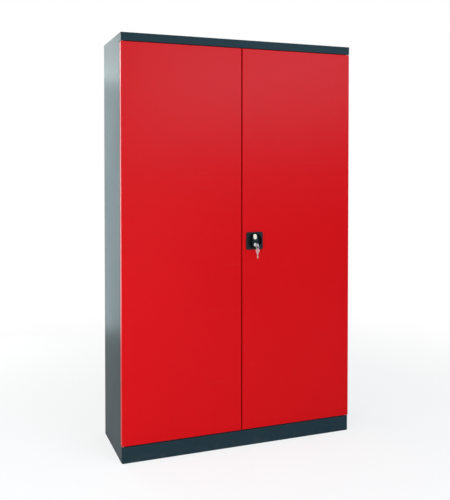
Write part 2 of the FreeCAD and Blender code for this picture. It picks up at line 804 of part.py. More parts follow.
def make_cam():
    x = lock_from_seam
    z = lock_height
    half = spindle_size / 2 + running_gap
    disc = rod_along_y(x, z, cam_front, cam_back, cam_radius)
    disc = disc.cut(block(x - half, x + half, cam_front - overrun, cam_back + overrun, z - half, z + half))
    pins = []
    for side in (-1, 1):
        pin_px = x + side * cam_pin_offset * math.cos(pin_swing)
        pin_pz = z - side * cam_pin_offset * math.sin(pin_swing)
        pins.append(rod_along_y(pin_px, pin_pz, cam_front, rod_back + layer_gap, cam_pin_radius))
    keep("cam_disc", joined([disc] + pins))
    clear = rod_along_y(x, z, front, rear, spindle_thread_radius + running_gap)
    inner_nut = hexagon(x, z, cam_back, cam_back + nut_thickness, nut_across).cut(clear)
    hook_front = door_back + layer_gap
    hook_back = hook_front + hook_thickness
    outer_nut = hexagon(x, z, hook_back, hook_back + nut_thickness, nut_across).cut(clear)
    keep("spindle_nuts", Part.makeCompound([inner_nut, outer_nut]))
    reach = hook_length - hook_width / 2
    arm = block(x - hook_width / 2, x + hook_width / 2, hook_front, hook_back, z, z + reach)
    tip = rod_along_y(x, z + reach, hook_front, hook_back, hook_width / 2)
    boss = rod_along_y(x, z, hook_front, hook_back, hook_width / 2 + hook_thickness)
    keep("centre_hook", joined([arm, tip, boss]).cut(clear))


# Rods: flat bars with a cross slot for the cam's pin and a chamfered nose
def rod(side):
    """Side 1 is the upper rod, side -1 the lower one. Both are drawn retracted."""
    x = lock_from_seam + side * rod_centre
    pin_z = lock_height - side * cam_pin_offset * math.sin(pin_swing)
    slot_half = cam_pin_radius + cam_slot_gap
    start = pin_z - side * (slot_half + rod_end_margin)
    edge = door_top if side > 0 else door_bottom
    half = rod_width / 2
    bar = block(x - half, x + half, rod_front, rod_back, start, edge)
    nose = []
    for line in bar.Edges:
        box = line.BoundBox
        if abs(box.ZMin - edge) < seat_gap and box.XLength < seat_gap and box.ZLength < seat_gap:
            nose.append(line)
    bar = bar.makeChamfer(rod_nose, nose)
    near = lock_from_seam + side * cam_pin_offset * math.cos(pin_swing)
    far = lock_from_seam + side * cam_pin_offset
    x_low = min(near, far) - slot_half
    x_high = max(near, far) + slot_half
    slot = block(x_low, x_high, rod_front - overrun, rod_back + overrun,
                 pin_z - slot_half, pin_z + slot_half)
    return bar.cut(slot)


def make_rods():
    keep("upper_rod", rod(1))
    keep("lower_rod", rod(-1))


# Key cylinder and the key in it, whose bow stands upright
def make_cylinder():
    x = lock_from_seam
    barrel = rod_along_y(x, cylinder_z, cylinder_front, cylinder_front + cylinder_length, cylinder_radius)
    rim = edges_where(barrel, lambda e: is_at_y(e, cylinder_front))
    barrel = barrel.makeChamfer(seat_gap, rim)
    half_x = key_thickness / 2 + key_gap
    half_z = key_blade_height / 2 + key_gap
    keyway_back = cylinder_front + key_blade_length + key_gap
    keyway = block(x - half_x, x + half_x, cylinder_front - overrun, keyway_back,
                   cylinder_z - half_z, cylinder_z + half_z)
    keep("key_cylinder", barrel.cut(keyway))


def toothed(blade, teeth, place):
    """The blade with V-shaped bites along its lower edge, each cut by a turned square bar."""
    for tooth in range(teeth):
        side = tooth_depth * math.sqrt(2)
        bar = Part.makeBox(side, side, 2 * overrun)
        bar.translate(Vector(-side / 2, -side / 2, -overrun))
        bar.rotate(Vector(0, 0, 0), Vector(0, 0, 1), 45)
        blade = blade.cut(place(bar, tooth))
    return blade


def make_key():
    x = lock_from_seam
    half = key_thickness / 2
    blade_half = key_blade_height / 2
    blade_end = cylinder_front + key_blade_length
    blade = block(x - half, x + half, bow_y, blade_end, cylinder_z - blade_half, cylinder_z + blade_half)

    def place(bar, tooth):
        bar.rotate(Vector(0, 0, 0), Vector(0, 1, 0), 90)
        y = blade_end - (tooth + 1) * tooth_pitch
        bar.translate(Vector(x, y, cylinder_z - blade_half))
        return bar

    blade = toothed(blade, 3, place)
    bow = rod_along_x(bow_y, cylinder_z, x - half, x + half, key_bow_radius)
    hole = rod_along_x(hole_y, cylinder_z, x - overrun, x + overrun, key_hole_radius)
    keep("key", joined([blade, bow]).cut(hole))


# Key ring through the bow's hole, and the spare key hanging on it, turned half towards the front
ring_top = cylinder_z - key_hole_radius + ring_wire_radius + ring_wire_radius + seat_gap
ring_z = ring_top - ring_wire_radius - ring_radius
ring_bottom = ring_z - ring_radius


def make_ring():
    centre = Vector(lock_from_seam, hole_y, ring_z)
    keep("key_ring", Part.makeTorus(ring_radius, ring_wire_radius, centre, Vector(0, 1, 0)))


def make_spare_key():
    """Drawn in the plane across the ring's wire, then turned about the vertical."""
    x = lock_from_seam
    half = key_thickness / 2
    hole_z = ring_bottom - spare_hole_radius / 2
    bow_z = hole_z - spare_hole_offset
    blade_half = key_blade_height / 2
    blade_low = bow_z - key_bow_radius - spare_blade_length
    blade = block(x - half, x + half, hole_y - blade_half, hole_y + blade_half, blade_low, bow_z)

    def place(bar, tooth):
        bar.rotate(Vector(0, 0, 0), Vector(0, 1, 0), 90)
        bar.translate(Vector(x, hole_y - blade_half, blade_low + (tooth + 1) * tooth_pitch))
        return bar

    blade = toothed(blade, 4, place)
    bow = rod_along_x(hole_y, bow_z, x - half, x + half, key_bow_radius)
    hole = rod_along_x(hole_y, hole_z, x - overrun, x + overrun, spare_hole_radius)
    spare = joined([blade, bow]).cut(hole)
    spare.rotate(Vector(x, hole_y, 0), Vector(0, 0, 1), spare_twist)
    keep("spare_key", spare)


def write_parts():
    os.makedirs("parts", exist_ok=True)
    for name, shape in parts.items():
        for solid in shape.Solids:
            if not solid.isValid() or solid.Volume <= 0:
                raise ValueError(name + " is not a valid solid")
        body = shape if len(shape.Solids) > 1 else shape.Solids[0]
        body.exportStep(os.path.join("parts", name + ".step"))


make_sides()
make_back()
make_top()
make_rail()
make_floor()
make_plinth()
make_bearer()
make_uprights()
make_shelves()
make_clips()
make_hinge_hardware()
make_buffers()
make_left_door()
make_right_door()
make_escutcheon()
make_lock_case()
make_guides()
make_keeper()
make_handle()
make_cam()
make_rods()
make_cylinder()
make_key()
make_ring()
make_spare_key()
write_parts()
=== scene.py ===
"""Finishes and fine pieces of a tall steel tool cabinet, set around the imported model, in metres."""

import bpy
import bmesh
import math
from mathutils import Matrix, Vector


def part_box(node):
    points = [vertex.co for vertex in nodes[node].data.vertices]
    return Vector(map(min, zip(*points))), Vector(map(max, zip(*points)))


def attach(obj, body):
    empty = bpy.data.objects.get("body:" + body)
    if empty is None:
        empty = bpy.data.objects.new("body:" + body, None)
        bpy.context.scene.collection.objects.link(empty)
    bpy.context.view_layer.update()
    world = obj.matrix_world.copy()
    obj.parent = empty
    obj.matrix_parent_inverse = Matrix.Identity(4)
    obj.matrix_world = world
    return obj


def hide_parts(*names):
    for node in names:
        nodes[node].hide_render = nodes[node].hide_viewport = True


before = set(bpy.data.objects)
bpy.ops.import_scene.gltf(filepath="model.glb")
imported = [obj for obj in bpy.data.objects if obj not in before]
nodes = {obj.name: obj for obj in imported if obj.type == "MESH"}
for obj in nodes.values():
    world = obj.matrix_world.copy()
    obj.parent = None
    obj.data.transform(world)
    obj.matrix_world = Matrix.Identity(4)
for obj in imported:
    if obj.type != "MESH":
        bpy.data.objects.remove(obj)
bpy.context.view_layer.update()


# Camera: it stands to the left of the cabinet, a little under its top, and looks almost level.
# The frame is 450 wide and 500 high, and the lens is shifted down so that upright edges stay upright.
scene = bpy.context.scene
frame_high = 500
frame_wide = 450
focal_pixels = 696.9
sensor_high = 36.0
camera_place = Vector((-1.2901, -3.3670, 1.3872))
camera_yaw = math.radians(20.768)
camera_tilt = math.radians(1.2)
camera_shift = -0.14

camera_data = bpy.data.cameras.new("photo_camera")
camera_data.sensor_fit = "VERTICAL"
camera_data.sensor_height = sensor_high
camera_data.sensor_width = sensor_high * frame_wide / frame_high
camera_data.lens = focal_pixels / frame_high * sensor_high
camera_data.shift_y = camera_shift
camera = bpy.data.objects.new("photo_camera", camera_data)
camera.location = camera_place
camera.rotation_euler = (math.radians(90) - camera_tilt, 0, -camera_yaw)
scene.collection.objects.link(camera)
scene.camera = camera
scene.view_settings.view_transform = "Standard"


# Floor: a plain pale studio floor that reaches past the view on all sides, with the cabinet's soft shadow.
# The camera and the reflections see it as nearly white, and it takes part of its brightness from the lamps.


class Value:
    """A number, colour or vector that a node gives. Sums, products and powers of it are Math nodes."""

    def __init__(self, tree, socket):
        self.tree = tree
        self.socket = socket

    def maths(self, operation, first, second):
        made = add_node(self.tree, "ShaderNodeMath", {"operation": operation}, {0: first, 1: second})
        return made[0]

    def __add__(self, other):
        return self.maths("ADD", self, other)

    def __radd__(self, other):
        return self.maths("ADD", other, self)

    def __sub__(self, other):
        return self.maths("SUBTRACT", self, other)

    def __rsub__(self, other):
        return self.maths("SUBTRACT", other, self)

    def __mul__(self, other):
        return self.maths("MULTIPLY", self, other)

    def __rmul__(self, other):
        return self.maths("MULTIPLY", other, self)

    def __truediv__(self, other):
        return self.maths("DIVIDE", self, other)

    def __pow__(self, other):
        return self.maths("POWER", self, other)

    def clamped(self):
        made = add_node(self.tree, "ShaderNodeClamp", {}, {0: self})
        return made[0]


def add_node(tree, kind, settings, inputs):
    """Adds a node, sets it up, feeds its sockets, and returns its outputs as Values."""
    node = tree.nodes.new(kind)
    for name, setting in settings.items():
        if name == "stops":
            ramp = node.color_ramp
            while len(ramp.elements) < len(setting):
                ramp.elements.new(1.0)
            for element, (place, colour) in zip(ramp.elements, setting):
                element.position = place
                element.color = colour
        else:
            setattr(node, name, setting)
    for key, value in inputs.items():
        if isinstance(value, Value):
            tree.links.new(value.socket, node.inputs[key])
        else:
            node.inputs[key].default_value = value
    return [Value(tree, socket) for socket in node.outputs]


class Finish:
    """One material: the Principled shader, and the places that its patterns are laid on."""

    def __init__(self, name):
        self.material = bpy.data.materials.new(name)
        self.material.use_nodes = True
        self.tree = self.material.node_tree
        self.shader = self.tree.nodes["Principled BSDF"]
        self.place = self.node("ShaderNodeTexCoord")[3]

    def node(self, kind, settings=None, inputs=None):
        return add_node(self.tree, kind, settings or {}, inputs or {})

    def set(self, **sockets):
        for name, value in sockets.items():
            socket = self.shader.inputs[name.replace("_", " ")]
            if isinstance(value, Value):
                self.tree.links.new(value.socket, socket)
            else:
                socket.default_value = value

    def axes(self):
        """The place's x, y and z as three numbers."""
        return self.node("ShaderNodeSeparateXYZ", inputs={0: self.place})[:3]

    def noise(self, scale, detail=2.0, rough=0.5, place=None):
        at = place or self.place
        inputs = {"Vector": at, "Scale": scale, "Detail": detail, "Roughness": rough}
        return self.node("ShaderNodeTexNoise", inputs=inputs)[0]

    def stretched(self, x, y, z):
        """The place multiplied along each axis, for grain and streaks."""
        inputs = {0: self.place, 1: (x, y, z)}
        return self.node("ShaderNodeVectorMath", {"operation": "MULTIPLY"}, inputs)[0]

    def smooth(self, value, low, high):
        """0 below low, 1 above high, and an even slope between."""
        inputs = {"Value": value, "From Min": low, "From Max": high}
        return self.node("ShaderNodeMapRange", {"interpolation_type": "SMOOTHSTEP"}, inputs)[0]

    def mixed(self, factor, first, second):
        made = self.node("ShaderNodeMix", {"data_type": "RGBA"}, {0: factor, 6: first, 7: second})
        return made[2]

    def bump(self, height, strength, depth):
        inputs = {"Strength": strength, "Distance": depth, "Height": height}
        return self.node("ShaderNodeBump", inputs=inputs)[0]


def rgb(red, green, blue):
    return (red, green, blue, 1.0)


floor_half = 30.0
near_glow = 0.74
near_reach = 0.9
far_reach = 3.2
floor_roughness = 0.9
floor_gloss = 0.1
floor_colour = rgb(0.92, 0.92, 0.92)
white = rgb(1.0, 1.0, 1.0)


def seen_directly(tree):
    """1 for rays from the camera, a mirror or a glass, and 0 for light that only brightens other things."""
    path = add_node(tree, "ShaderNodeLightPath", {}, {})
    return (path[0] + path[3] + path[7]).clamped()


floor_mesh = bpy.data.meshes.new("studio_floor")
corners = [(x * floor_half, y * floor_half, 0) for x, y in ((-1, -1), (1, -1), (1, 1), (-1, 1))]
floor_mesh.from_pydata(corners, [], [(0, 1, 2, 3)])
floor = bpy.data.objects.new("studio_floor", floor_mesh)
scene.collection.objects.link(floor)
floor_finish = Finish("studio_floor")
floor_finish.set(Base_Color=floor_colour, Roughness=floor_roughness, Specular_IOR_Level=floor_gloss)
glow = add_node(floor_finish.tree, "ShaderNodeEmission", {}, {0: white, 1: 1.0})[0]
lit = Value(floor_finish.tree, floor_finish.shader.outputs[0])
away = floor_finish.node("ShaderNodeVectorMath", {"operation": "LENGTH"}, {0: floor_finish.place})[1]
far = floor_finish.smooth(away, near_reach, far_reach)
share = seen_directly(floor_finish.tree) * (near_glow + far * (1 - near_glow))
blend = add_node(floor_finish.tree, "ShaderNodeMixShader", {}, {0: share, 1: lit, 2: glow})[0]
output = floor_finish.tree.nodes["Material Output"]
floor_finish.tree.links.new(blend.socket, output.inputs[0])
floor_mesh.materials.append(floor_finish.material)


# Light: an even white room and area lamps, each given as name, place, aim, width, height, watts and tint.
# The wide front one and the narrow strip lay the sheen on the doors, and the two side ones lie where the
# left side panel mirrors them. The others fill the foot, the left, the front and the top.
room_light = 0.19
softboxes = (
    ("front_box", (1.40, -3.60, 2.38), (0.00, -0.20, 1.45), 2.8, 1.1, 93.0, (0.60, 0.85, 1.0)),
    ("strip_box", (0.24, -3.60, 1.25), (-0.30, -0.20, 1.25), 0.3, 2.4, 10.0, (0.80, 0.95, 1.0)),
    ("foot_box", (-1.50, -1.60, 0.60), (-0.50, -0.20, 0.15), 0.8, 0.6, 5.0, (1.0, 0.98, 0.98)),
    ("side_box", (-1.25, 2.40, 1.10), (-0.65, 0.00, 1.10), 0.9, 2.2, 17.0, (0.78, 0.97, 1.0)),
    ("side_top_box", (-1.35, 2.30, 2.32), (-0.65, 0.00, 1.90), 1.0, 0.44, 7.0, (0.88, 1.0, 1.0)),
    ("left_box", (-2.80, -0.10, 2.40), (-0.60, 0.00, 1.30), 1.0, 1.0, 27.0, (0.90, 0.98, 1.0)),
    ("fill_box", (-1.75, -2.10, 0.95), (-0.50, -0.20, 0.60), 0.8, 1.2, 9.0, (1.0, 0.96, 0.97)),
    ("top_box", (0.00, -0.40, 5.00), (0.00, -0.40, 0.00), 3.4, 3.4, 80.0, (1.0, 1.0, 1.0)),
)

world = bpy.data.worlds.new("white_room")
world.use_nodes = True
scene.world = world
sky = world.node_tree.nodes["Background"]
sky.inputs[0].default_value = white
level = seen_directly(world.node_tree) * (1 - room_light) + room_light
world.node_tree.links.new(level.socket, sky.inputs[1])

for name, place, aim, wide, high, power, tint in softboxes:
    data = bpy.data.lights.new(name, "AREA")
    data.shape = "RECTANGLE"
    data.size = wide
    data.size_y = high
    data.energy = power
    data.color = tint
    softbox = bpy.data.objects.new(name, data)
    softbox.location = place
    softbox.rotation_euler = (Vector(aim) - Vector(place)).to_track_quat("-Z", "Y").to_euler()
    softbox.visible_camera = False
    scene.collection.objects.link(softbox)


# Carcass: side panels, top, plinth, back, floor and uprights of folded sheet steel, spot welded and
# finished in satin anthracite powder coat. Its folds are slightly round and its foot is a little dusty.
mm = 0.001
anthracite = rgb(0.018, 0.036, 0.045)
dust = rgb(0.30, 0.29, 0.27)
coat_roughness = 0.30
coat_gloss = 0.02
fold_radius = 0.35 * mm
sharp_angle = math.radians(35)
weld_reach = 0.002 * mm
cloud_scale = 1.7
speck_scale = 900.0
cloud_share = 0.55
coat_darkest = 0.93
coat_palest = 1.07
peel_scale = 420.0
peel_strength = 0.35
peel_depth = 0.12 * mm
rub_scale = 9.0
rub_streak = (0.35, 1.0, 6.0)
rub_edges = (0.62, 0.74)
rub_strength = 0.03
dust_scale = 26.0
dust_edges = (0.40, 0.75)
dust_height = 50 * mm
dust_strength = 0.07


def shade(colour, factor):
    return (colour[0] * factor, colour[1] * factor, colour[2] * factor, 1.0)


def soften(name, radius, segments=2):
    """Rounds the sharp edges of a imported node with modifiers, leaving its own mesh as it is."""
    piece = nodes[name]
    weld = piece.modifiers.new("weld", "WELD")
    weld.merge_threshold = weld_reach
    bevel = piece.modifiers.new("edges", "BEVEL")
    bevel.width = radius
    bevel.segments = segments
    bevel.limit_method = "ANGLE"
    bevel.angle_limit = sharp_angle
    bevel.use_clamp_overlap = True
    return piece


def paint(piece, finish):
    piece.data.materials.clear()
    piece.data.materials.append(finish.material)


def powder_coat(name, colour, roughness, gloss):
    """Baked powder paint: orange peel, faint cloudiness, fine specks and the odd hairline rub."""
    finish = Finish(name)
    clouds = finish.noise(cloud_scale, 3.0)
    specks = finish.noise(speck_scale, 1.0)
    peel = finish.noise(peel_scale, 2.0, 0.45)
    rubs = finish.noise(rub_scale, 4.0, 0.7, finish.stretched(*rub_streak))
    rub_mask = finish.smooth(rubs, *rub_edges)
    tint = (clouds * cloud_share + specks * (1 - cloud_share)).clamped()
    base = finish.mixed(tint, shade(colour, coat_darkest), shade(colour, coat_palest))
    worn = finish.mixed(rub_mask * rub_strength, base, dust)
    height = finish.axes()[2]
    foot = 1 - finish.smooth(height, 0.0, dust_height)
    dusty = finish.smooth(finish.noise(dust_scale, 5.0, 0.65), *dust_edges) * foot
    colour_now = finish.mixed(dusty * dust_strength, worn, dust)
    rough = roughness + (clouds - 0.5) * 0.10 + rub_mask * 0.07 + dusty * 0.20
    finish.set(Base_Color=colour_now, Roughness=rough.clamped(), Specular_IOR_Level=gloss)
    finish.set(Normal=finish.bump(peel, peel_strength, peel_depth))
    return finish


carcass_finish = powder_coat("anthracite_powder_coat", anthracite, coat_roughness, coat_gloss)
carcass_parts = ("side_panel_left", "side_panel_right", "top_panel", "top_rail", "floor_panel",
                 "plinth", "back_panel", "floor_bearer")
upright_parts = ("upright_front_left", "upright_front_right", "upright_rear_left", "upright_rear_right")
for name in carcass_parts + upright_parts:
    paint(soften(name, fold_radius), carcass_finish)


# Rivets: domed blind rivets that hold the back panel to the rear flanges, painted with the carcass.
# Each is turned from one profile and has the small pit of its broken mandrel in the middle.
rivet_profile = ((0.0, 0.35), (0.22, 0.35), (0.30, 0.62), (0.42, 0.95), (0.62, 0.92), (0.84, 0.66),
                 (0.97, 0.28), (1.0, 0.0))
round_steps = 28


def link(mesh, name):
    piece = bpy.data.objects.new(name, mesh)
    scene.collection.objects.link(piece)
    return piece


def turned(build, profile, radius, height, centre, outward, across, steps=round_steps):
    """Adds a turned form to a bmesh: profile shares run from the axis outwards, height along outward."""
    along = outward.cross(across)
    rings = []
    for share_out, share_up in profile:
        lift = centre + outward * (share_up * height)
        if share_out == 0.0:
            rings.append([build.verts.new(lift)])
            continue
        ring = []
        for step in range(steps):
            angle = math.tau * step / steps
            ray = across * math.cos(angle) + along * math.sin(angle)
            ring.append(build.verts.new(lift + ray * (share_out * radius)))
        rings.append(ring)
    for inner, outer in zip(rings, rings[1:]):
        for step in range(steps):
            after = (step + 1) % steps
            if len(inner) == 1:
                build.faces.new((inner[0], outer[step], outer[after]))
            else:
                build.faces.new((inner[step], outer[step], outer[after], inner[after]))
    return rings


def closed_off(build, ring):
    build.faces.new(list(reversed(ring)))


def made_mesh(build, name, smooth=True):
    bmesh.ops.recalc_face_normals(build, faces=build.faces)
    mesh = bpy.data.meshes.new(name)
    build.to_mesh(mesh)
    build.free()
    for face in mesh.polygons:
        face.use_smooth = smooth
    return mesh


def islands(name):
    """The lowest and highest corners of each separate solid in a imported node."""
    build = bmesh.new()
    build.from_mesh(nodes[name].data)
    bmesh.ops.remove_doubles(build, verts=build.verts, dist=weld_reach)
    build.verts.ensure_lookup_table()
    seen = set()
    boxes = []
    for start in build.verts:
        if start.index in seen:
            continue
        stack = [start]
        seen.add(start.index)
        low = start.co.copy()
        high = start.co.copy()
        while stack:
            vert = stack.pop()
            for axis in range(3):
                low[axis] = min(low[axis], vert.co[axis])
                high[axis] = max(high[axis], vert.co[axis])
            for edge in vert.link_edges:
                other = edge.other_vert(vert)
                if other.index not in seen:
                    seen.add(other.index)
                    stack.append(other)
        boxes.append((low, high))
    build.free()
    return boxes


rivets = bmesh.new()
for low, high in islands("back_rivets"):
    middle = (low + high) / 2
    seat = Vector((middle.x, low.y, middle.z))
    rings = turned(rivets, rivet_profile, (high.x - low.x) / 2, high.y - low.y, seat, Vector((0, 1, 0)),
                   Vector((1, 0, 0)))
    closed_off(rivets, rings[-1])
rivet_piece = link(made_mesh(rivets, "domed_rivets"), "domed_rivets")
paint(rivet_piece, carcass_finish)
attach(rivet_piece, "cabinet")
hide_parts("back_rivets")


# Doors: two folded steel pans with glued-in stiffeners, in satin red powder coat on all faces.
# They hang on pivot pins in their outer corners, and the seam between them is open.
traffic_red = rgb(0.620, 0.0015, 0.004)
door_roughness = 0.34
door_gloss = 0.09
door_fold_radius = 1.2 * mm

door_finish = powder_coat("red_powder_coat", traffic_red, door_roughness, door_gloss)
for name in ("left_door_panel", "right_door_panel", "left_door_stiffener", "right_door_stiffener"):
    paint(soften(name, door_fold_radius), door_finish)


# Shelves, stiffeners, clips and lock steel: zinc-plated sheet and bar, with the plating's pale spangle
# and fine rolling lines. The shelves lie loose on their clips.
zinc = rgb(0.56, 0.58, 0.59)
zinc_roughness = 0.36
spangle_scale = 130.0
rolling_scale = 60.0
rolling_stretch = 30.0
zinc_edge_radius = 0.3 * mm


def plated_steel(name, colour, roughness, spangle):
    finish = Finish(name)
    cells = finish.node("ShaderNodeTexVoronoi", inputs={"Vector": finish.place, "Scale": spangle})[1]
    cell = finish.node("ShaderNodeSeparateXYZ", inputs={0: cells})[0]
    grain = finish.noise(rolling_scale, 3.0, 0.6, finish.stretched(1.0, rolling_stretch, rolling_stretch))
    tone = (cell * 0.5 + grain * 0.5).clamped()
    base = finish.mixed(tone, shade(colour, 0.82), shade(colour, 1.12))
    rough = roughness + (cell - 0.5) * 0.10 + (grain - 0.5) * 0.12
    finish.set(Base_Color=base, Metallic=1.0, Roughness=rough.clamped())
    finish.set(Normal=finish.bump(grain, 0.15, 0.05 * mm))
    return finish


zinc_finish = plated_steel("zinc_plated_steel", zinc, zinc_roughness, spangle_scale)
shelf_parts = ("shelf_1", "shelf_2", "shelf_3", "shelf_4", "shelf_stiffener_1", "shelf_stiffener_2",
               "shelf_stiffener_3", "shelf_stiffener_4", "shelf_clips")
lock_steel = ("hinge_pins", "left_door_pivot_plates", "right_door_pivot_plates", "left_door_keeper",
              "lock_case", "lock_screws", "rod_guides", "lock_spindle", "cam_disc", "spindle_nuts",
              "centre_hook", "upper_rod", "lower_rod")
for name in shelf_parts + lock_steel:
    paint(soften(name, zinc_edge_radius), zinc_finish)


# Bushes and washers: natural nylon, moulded, pressed into the doors' corners and laid on the plinth.
# They show only in the thin gaps above and below the doors.
nylon = rgb(0.72, 0.71, 0.66)
nylon_edge_radius = 0.2 * mm
nylon_cloud_scale = 60.0
nylon_grain_scale = 1500.0

nylon_finish = Finish("natural_nylon")
nylon_clouds = nylon_finish.noise(nylon_cloud_scale, 3.0)
nylon_finish.set(Base_Color=nylon_finish.mixed(nylon_clouds, shade(nylon, 0.9), nylon))
nylon_finish.set(Roughness=(0.42 + nylon_clouds * 0.15).clamped())
nylon_finish.set(Normal=nylon_finish.bump(nylon_finish.noise(nylon_grain_scale), 0.2, 0.03 * mm))
for name in ("hinge_washers", "left_door_bushes", "right_door_bushes"):
    paint(soften(name, nylon_edge_radius), nylon_finish)


# Door buffers: soft black rubber buttons with a domed face and a thin foot, glued to the carcass
# where the doors' back flanges close on them.
rubber = rgb(0.018, 0.018, 0.019)
bloom_scale = 220.0
rubber_grain_scale = 2400.0
buffer_profile = ((0.0, 1.0), (0.45, 0.97), (0.72, 0.86), (0.84, 0.66), (0.88, 0.30), (1.0, 0.22),
                  (1.0, 0.0))

rubber_finish = Finish("black_rubber")
rubber_bloom = rubber_finish.noise(bloom_scale, 3.0)
rubber_finish.set(Base_Color=rubber_finish.mixed(rubber_bloom, rubber, shade(rubber, 2.2)))
rubber_finish.set(Roughness=(0.70 + rubber_bloom * 0.2).clamped())
rubber_finish.set(Normal=rubber_finish.bump(rubber_finish.noise(rubber_grain_scale), 0.3, 0.04 * mm))
buffers = bmesh.new()
for low, high in islands("door_buffers"):
    middle = (low + high) / 2
    seat = Vector((middle.x, high.y, middle.z))
    rings = turned(buffers, buffer_profile, (high.x - low.x) / 2, high.y - low.y, seat,
                   Vector((0, -1, 0)), Vector((1, 0, 0)))
    closed_off(buffers, rings[-1])
buffer_piece = link(made_mesh(buffers, "rubber_buffers"), "rubber_buffers")
paint(buffer_piece, rubber_finish)
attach(buffer_piece, "cabinet")
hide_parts("door_buffers")


# Escutcheon and turn handle: black moulded plastic with a fine grain, slightly polished where fingers
# rub. The escutcheon is screwed to the door from behind and the handle turns in its dish.
black_plastic = rgb(0.011, 0.016, 0.018)
plastic_gloss = 0.07
plastic_roughness = 0.40
plastic_grain_scale = 1900.0
touch_scale = 45.0
plate_edge_radius = 0.25 * mm
grip_edge_radius = 0.4 * mm
plate_low, plate_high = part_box("lock_escutcheon")
lock_centre = (plate_low + plate_high) / 2


def moulded_plastic(name, colour, roughness):
    finish = Finish(name)
    grain = finish.noise(plastic_grain_scale, 2.0, 0.5)
    haze = finish.noise(touch_scale, 3.0, 0.6)
    touched = finish.smooth(haze, 0.45, 0.72)
    base = finish.mixed(touched * 0.5, colour, shade(colour, 1.9))
    rough = roughness + (grain - 0.5) * 0.12 - touched * 0.10
    finish.set(Base_Color=base, Roughness=rough.clamped(), Specular_IOR_Level=plastic_gloss)
    finish.set(Normal=finish.bump(grain, 0.30, 0.04 * mm))
    return finish


plastic_finish = moulded_plastic("black_moulded_plastic", black_plastic, plastic_roughness)
paint(soften("lock_escutcheon", plate_edge_radius), plastic_finish)
paint(soften("turn_handle", grip_edge_radius), plastic_finish)


# Handle insert: a matt chrome thumb piece set into the sloping upper half of the grip, where the
# thumb pulls. Its face is domed.
chrome = rgb(0.57, 0.52, 0.45)
insert_width = 18.0 * mm
insert_length = 27.0 * mm
insert_middle = 16.9 * mm
insert_rise = 2.1 * mm
insert_sunk = 1.0 * mm
insert_rings = 9
insert_steps = 56
slope_from_centre = 4.0 * mm
slope_drop = 7.0 * mm
slope_length = 31.0 * mm
slope_angle = math.atan(slope_drop / slope_length)
crown_share = 0.02
rim_share = 0.30
haze_scale = 160.0
ripple_scale = 700.0

chrome_finish = Finish("matt_chrome")
chrome_haze = chrome_finish.noise(haze_scale, 4.0, 0.65)
chrome_finish.set(Base_Color=chrome_finish.mixed(chrome_haze, shade(chrome, 0.94), chrome), Metallic=1.0)
chrome_finish.set(Roughness=(0.62 + chrome_haze * 0.12).clamped())
chrome_finish.set(Normal=chrome_finish.bump(chrome_finish.noise(ripple_scale, 2.0), 0.05, 0.01 * mm))


def domed_oval(start, up, out):
    """An oval with straight sides that lies on the grip's slope, with its foot sunk in the grip."""
    build = bmesh.new()
    radius = insert_width / 2
    straight = insert_length / 2 - radius
    rings = []
    for ring_number in range(insert_rings + 1):
        turn = ring_number / insert_rings * math.pi / 2
        scale = math.cos(turn) if ring_number < insert_rings else crown_share
        rise = insert_rise * (rim_share + (1 - rim_share) * math.sin(turn))
        ring = []
        for step in range(insert_steps):
            angle = math.tau * step / insert_steps
            side = 1 if math.sin(angle) >= 0 else -1
            across = math.cos(angle) * radius * scale
            along = insert_middle + (math.sin(angle) * radius + side * straight) * scale
            ring.append(build.verts.new(start + Vector((across, 0, 0)) + up * along + out * rise))
        if ring_number == 0:
            rings.append([build.verts.new(vert.co - out * (rise + insert_sunk)) for vert in ring])
        rings.append(ring)
    for outer, inner in zip(rings, rings[1:]):
        for step in range(insert_steps):
            after = (step + 1) % insert_steps
            build.faces.new((outer[step], outer[after], inner[after], inner[step]))
    build.faces.new(list(reversed(rings[0])))
    build.faces.new(rings[-1])
    return made_mesh(build, "thumb_insert")


grip_low, grip_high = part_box("turn_handle")
slope_start = Vector((lock_centre.x, grip_low.y, lock_centre.z + slope_from_centre))
slope_up = Vector((0, math.sin(slope_angle), math.cos(slope_angle)))
slope_out = Vector((0, -math.cos(slope_angle), math.sin(slope_angle)))
insert_piece = link(domed_oval(slope_start, slope_up, slope_out), "thumb_insert")
paint(insert_piece, chrome_finish)
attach(insert_piece, "turn_handle")
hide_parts("handle_insert")


# Key cylinder: a turned, nickel-plated barrel in the grip's lower end. Its face shows the fine rings
# that the lathe left round the keyway.
nickel = rgb(0.66, 0.66, 0.67)
barrel_roughness = 0.22
barrel_edge_radius = 0.25 * mm
face_ring_pitch = 0.45 * mm


def nickel_plate(name, colour, roughness):
    finish = Finish(name)
    haze = finish.noise(210.0, 4.0, 0.6)
    scratches = finish.noise(120.0, 3.0, 0.7, finish.stretched(1.0, 8.0, 0.7))
    marks = finish.smooth(scratches, 0.55, 0.72)
    finish.set(Base_Color=finish.mixed(haze, shade(colour, 0.88), shade(colour, 1.06)), Metallic=1.0)
    finish.set(Roughness=(roughness + haze * 0.10 + marks * 0.12).clamped())
    return finish


barrel_low, barrel_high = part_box("key_cylinder")
barrel_centre = (barrel_low + barrel_high) / 2
cylinder_finish = nickel_plate("turned_nickel", nickel, barrel_roughness)
offset = cylinder_finish.node("ShaderNodeVectorMath", {"operation": "SUBTRACT"},
                              {0: cylinder_finish.place, 1: barrel_centre})[0]
parts_of_offset = cylinder_finish.node("ShaderNodeSeparateXYZ", inputs={0: offset})
radius_now = (parts_of_offset[0] * parts_of_offset[0] + parts_of_offset[2] * parts_of_offset[2]) ** 0.5
rings_wave = cylinder_finish.node("ShaderNodeMath", {"operation": "SINE"},
                                  {0: radius_now * (math.tau / face_ring_pitch)})[0]
cylinder_finish.set(Normal=cylinder_finish.bump(rings_wave, 0.12, 0.02 * mm))
paint(soften("key_cylinder", barrel_edge_radius, 3), cylinder_finish)


